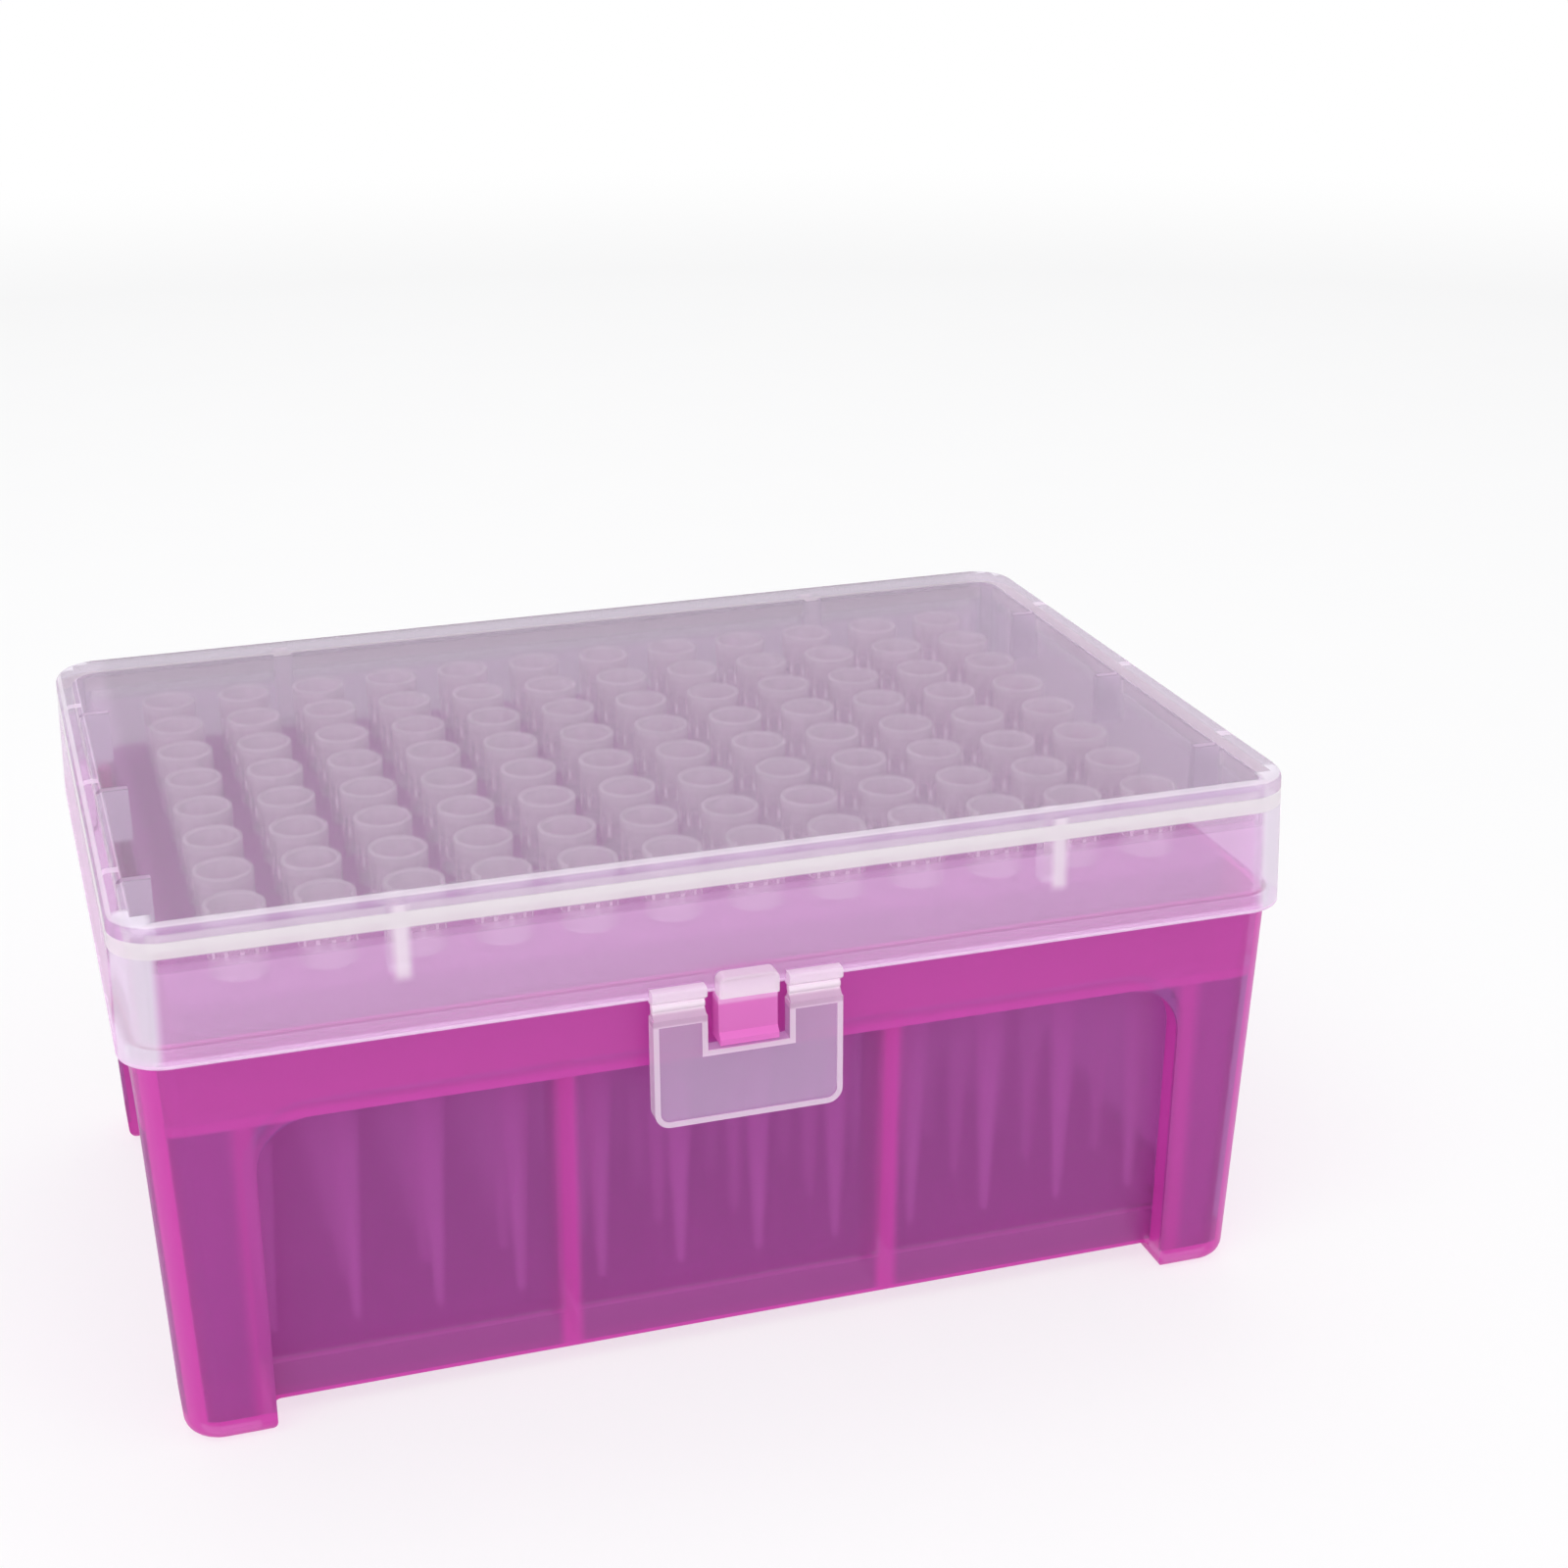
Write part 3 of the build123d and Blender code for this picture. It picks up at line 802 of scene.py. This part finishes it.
@dataclass(frozen=True)
class FilterFibre:
    """White sintered plug, open-pored and matt."""

    slot: Slot = Slot.FILTER
    pale: Colour = (0.88, 0.86, 0.88)
    # painted shade: the darker colour sits in the pits of the pore relief
    shade: Colour = (0.70, 0.68, 0.70)
    pores_per_metre: float = 5200.0
    pore_depth: float = 0.08 * MM
    pore_strength: float = 0.5
    pore_half: float = 0.35
    pore_fade: float = 0.5
    roughness: float = 0.85

    def build(self) -> bpy.types.Material:
        """Lays out the nodes.

        Returns:
            The material.
        """
        bench = Bench(bpy.data.materials.new(self.slot.value))
        here = bench.place()[0]
        pores = bench.add("TexVoronoi", {"Vector": here, "Scale": self.pores_per_metre}).outputs[0]
        # the pits get the painted shade, and the rest gets the pale fibre
        colour = bench.mix(bench.above(pores, self.pore_half, self.pore_fade), self.shade, self.pale)
        normal = bench.bump(pores, self.pore_depth, self.pore_strength)
        inputs = {"Base Color": colour, "Roughness": self.roughness, "Normal": normal}
        body = bench.add("BsdfPrincipled", inputs)
        return bench.finish(body.outputs[0])


def dress(piece: bpy.types.Object, material: bpy.types.Material) -> None:
    """Gives a piece one material all over.

    Args:
        piece: the mesh object.
        material: what it is to be made of.
    """
    if not piece.material_slots:
        piece.data.materials.append(material)
    for slot in piece.material_slots:
        slot.material = material
    LOG.info("%s is made of %s", piece.name, material.name)


@dataclass
class Tray:
    """The tray and the rack that stands in it."""

    plastic: ClearPlastic
    rack_plastic: ClearPlastic

    def build(self, nodes: Nodes) -> None:
        """Dresses both mouldings.

        Args:
            nodes: the frame's objects by name.
        """
        dress(nodes["base_tray"], self.plastic.build())
        dress(nodes["rack_plate"], self.rack_plastic.build())
        LOG.info("tray and rack dressed")


@dataclass
class Lid:
    """The lid and the flap that latches it."""

    plastic: ClearPlastic
    flap_plastic: ClearPlastic

    def build(self, nodes: Nodes) -> None:
        """Dresses both mouldings.

        Args:
            nodes: the frame's objects by name.
        """
        dress(nodes["lid"], self.plastic.build())
        dress(nodes["latch_tab"], self.flap_plastic.build())
        LOG.info("lid and flap dressed")


@dataclass
class TipSet:
    """Twelve columns of eight tips, each with a ribbed collar, and the filters inside them."""

    plastic: ClearPlastic
    fibre: FilterFibre
    shape: TipShape = TipShape()
    pitch: float = TIP_PITCH
    rows: int = 8
    segments: int = 60
    rib_every: int = 5
    rib_wide: int = 2
    rib_depth: float = 0.16 * MM
    crease: float = 32.0

    def reach(self, ring: Ring, step: int) -> float:
        """How far a ring's point stands from the axis, less between two ribs."""
        between = ring.ribbed and step % self.rib_every >= self.rib_wide
        return ring.radius - (self.rib_depth if between else 0.0)

    def place(self, ring: Ring, step: int, y: float) -> tuple[float, float, float]:
        """Where a point of a ring lies.

        Args:
            ring: the ring that it is on.
            step: its number round the ring.
            y: where the tip's axis stands.

        Returns:
            Its x, y and z, with the mouth at nought.
        """
        turn = 2 * math.pi * step / self.segments
        reach = self.reach(ring, step)
        return reach * math.cos(turn), reach * math.sin(turn) + y, -ring.depth

    def tip(self, mesh: bmesh.types.BMesh, y: float) -> None:
        """Adds one tip that hangs from the mesh's own level.

        Args:
            mesh: the mesh that it goes in.
            y: where its axis stands.
        """
        rings = [
            [mesh.verts.new(self.place(ring, step, y)) for step in range(self.segments)]
            for ring in self.shape.outside() + self.shape.inside()
        ]
        for low, high in zip(rings, rings[1:] + rings[:1]):
            for step in range(self.segments):
                after = (step + 1) % self.segments
                mesh.faces.new((low[step], high[step], high[after], low[after]))

    def column_mesh(self) -> bpy.types.Mesh:
        """Eight tips in a row along Y, mouths at the mesh's own level.

        Returns:
            The mesh.
        """
        build = bmesh.new()
        for row in range(self.rows):
            self.tip(build, (row - (self.rows - 1) / 2) * self.pitch)
        bmesh.ops.recalc_face_normals(build, faces=build.faces)
        mesh = bpy.data.meshes.new("tips")
        build.to_mesh(mesh)
        build.free()
        mesh.shade_smooth()
        mesh.set_sharp_from_angle(angle=math.radians(self.crease))
        return mesh

    def stand_in(self, name: str, mesh: bpy.types.Mesh) -> None:
        """Puts a detailed column over a plain one.

        Args:
            name: the plain column's node.
            mesh: the detailed column.
        """
        low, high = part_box(name)
        piece = bpy.data.objects.new(name.replace("tips", "ribbed_tips"), mesh)
        bpy.context.scene.collection.objects.link(piece)
        piece.location = ((low.x + high.x) / 2, (low.y + high.y) / 2, high.z)
        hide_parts(name)
        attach(piece, "base")
        LOG.info("%s stands for %s", piece.name, name)

    def build(self, nodes: Nodes) -> None:
        """Builds the tips and dresses them and their filters.

        Args:
            nodes: the frame's objects by name.
        """
        mesh = self.column_mesh()
        material = self.plastic.build()
        mesh.materials.append(material)
        fibre = self.fibre.build()
        for name in sorted(nodes):
            if name.startswith("tips_column"):
                self.stand_in(name, mesh)
                dress(nodes[name], material)
            elif name.startswith("filters_column"):
                dress(nodes[name], fibre)


@dataclass(frozen=True)
class Lamp:
    """A square soft lamp that looks at the box."""

    name: str
    place: tuple[float, float, float]
    size: float
    power: float
    aim: tuple[float, float, float] = (0.0, 0.0, 30 * MM)

    def build(self) -> None:
        """Hangs the lamp."""
        light = bpy.data.lights.new(self.name, "AREA")
        light.shape, light.size, light.energy = "SQUARE", self.size, self.power
        stand = bpy.data.objects.new(self.name, light)
        stand.location = self.place
        towards = Vector(self.aim) - Vector(self.place)
        stand.rotation_euler = towards.to_track_quat("-Z", "Y").to_euler()
        bpy.context.scene.collection.objects.link(stand)


@dataclass
class Studio:
    """A pale floor, soft lamps and a white surround."""

    floor_half: float = 2.5
    surround: float = 0.62
    paper: Colour = (0.86, 0.86, 0.87)
    paper_fleck: Colour = (0.88, 0.88, 0.89)
    flecks_per_metre: float = 40.0
    floor_glow: float = 0.62
    floor_fade: tuple[float, float] = (0.25, 0.9)
    lamps: Sequence[Lamp] = (
        Lamp("key", (-0.45, -0.35, 0.75), 0.5, 3.4),
        Lamp("fill", (0.7, -0.5, 0.45), 0.6, 1.6),
        Lamp("back", (0.1, 0.45, 0.85), 0.6, 2.0),
    )

    def seen_or_mirrored(self, bench: Bench) -> Socket:
        """Tells the rays that only look from those that carry light.

        Args:
            bench: the tree to lay the sums out in.

        Returns:
            One for what the eye, a mirror or a clear piece sees, and nought for the rest.
        """
        rays = bench.add("LightPath").outputs
        seen = bench.math("MAXIMUM", rays["Is Camera Ray"], rays["Is Glossy Ray"])
        return bench.math("MAXIMUM", seen, rays["Is Transmission Ray"])

    def floor(self) -> None:
        """Lays the floor, white to the eye but keeping the shadow."""
        bench = Bench(bpy.data.materials.new("floor_paper"))
        shade = bench.mix(bench.grain(self.flecks_per_metre), self.paper, self.paper_fleck)
        paper = bench.add("BsdfDiffuse", {"Color": shade})
        glow = bench.add("Emission", {"Color": WHITE, "Strength": 1.0})
        _, x, y, _ = bench.place()
        away = bench.math("SQRT", bench.math("MULTIPLY_ADD", x, x, bench.math("MULTIPLY", y, y)))
        middle, span = sum(self.floor_fade) / 2, self.floor_fade[1] - self.floor_fade[0]
        glow_share = bench.math("MAXIMUM", bench.above(away, middle, span), self.floor_glow)
        share = bench.math("MULTIPLY", self.seen_or_mirrored(bench), glow_share)
        mixed = bench.add("MixShader", {0: share, 1: paper.outputs[0], 2: glow.outputs[0]})
        half = self.floor_half
        mesh = bpy.data.meshes.new("floor")
        corners = [(-half, -half, 0), (half, -half, 0), (half, half, 0), (-half, half, 0)]
        mesh.from_pydata(corners, [], [(0, 1, 2, 3)])
        mesh.materials.append(bench.finish(mixed.outputs[0]))
        plane = bpy.data.objects.new("floor", mesh)
        bpy.context.scene.collection.objects.link(plane)

    def world(self) -> None:
        """Surrounds the scene with soft white light."""
        bench = Bench(bpy.data.worlds.new("surround"))
        seen = self.seen_or_mirrored(bench)
        level = bench.math("MULTIPLY_ADD", seen, 1.0 - self.surround, self.surround)
        back = bench.add("Background", {"Color": WHITE, "Strength": level})
        bpy.context.scene.world = bench.finish(back.outputs[0])

    def build(self) -> None:
        """Sets up the floor, the surround and the lamps."""
        self.floor()
        self.world()
        for lamp in self.lamps:
            lamp.build()
        LOG.info("studio ready")


@dataclass
class Viewpoint:
    """Where the camera stands and how it is aimed."""

    azimuth: float = -16.84
    elevation: float = 22.09
    roll: float = -0.70
    distance: float = 300.2 * MM
    target: tuple[float, float, float] = (10.49 * MM, -1.54 * MM, 46.98 * MM)
    sensor: float = 36.0
    lens: float = 59.03
    shift: tuple[float, float] = (0.0366, 0.0224)
    reach: tuple[float, float] = (0.01, 20.0)

    def build(self) -> None:
        """Makes the camera and hands it to the scene."""
        angles = (self.azimuth, self.elevation, self.roll)
        azimuth, elevation, roll = (math.radians(angle) for angle in angles)
        level = math.cos(elevation)
        back = Vector((math.sin(azimuth) * level, -math.cos(azimuth) * level, math.sin(elevation)))
        right = (-back).cross(Vector((0, 0, 1))).normalized()
        up = right.cross(-back)
        side = right * math.cos(roll) + up * math.sin(roll)
        top = up * math.cos(roll) - right * math.sin(roll)
        camera = bpy.data.cameras.new("camera")
        camera.sensor_width, camera.lens = self.sensor, self.lens
        camera.shift_x, camera.shift_y = self.shift
        camera.clip_start, camera.clip_end = self.reach
        holder = bpy.data.objects.new("camera", camera)
        turn = Matrix((side, top, back)).transposed().to_4x4()
        holder.matrix_world = Matrix.Translation(Vector(self.target) + back * self.distance) @ turn
        bpy.context.scene.collection.objects.link(holder)
        bpy.context.scene.camera = holder


def main() -> None:
    """Builds the whole scene."""
    logging.basicConfig(level=logging.INFO, format="%(name)s: %(message)s")
    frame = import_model()
    nodes = frame["nodes"]
    Tray(TrayPlastic(), RackPlastic()).build(nodes)
    Lid(LidPlastic(), FlapPlastic()).build(nodes)
    TipSet(TipPlastic(), FilterFibre()).build(nodes)
    Studio().build()
    Viewpoint().build()
    scene = bpy.context.scene
    scene.view_settings.view_transform = "Standard"
    scene.cycles.transparent_max_bounces = CLEAR_FACES


if __name__ == "__main__":
    main()
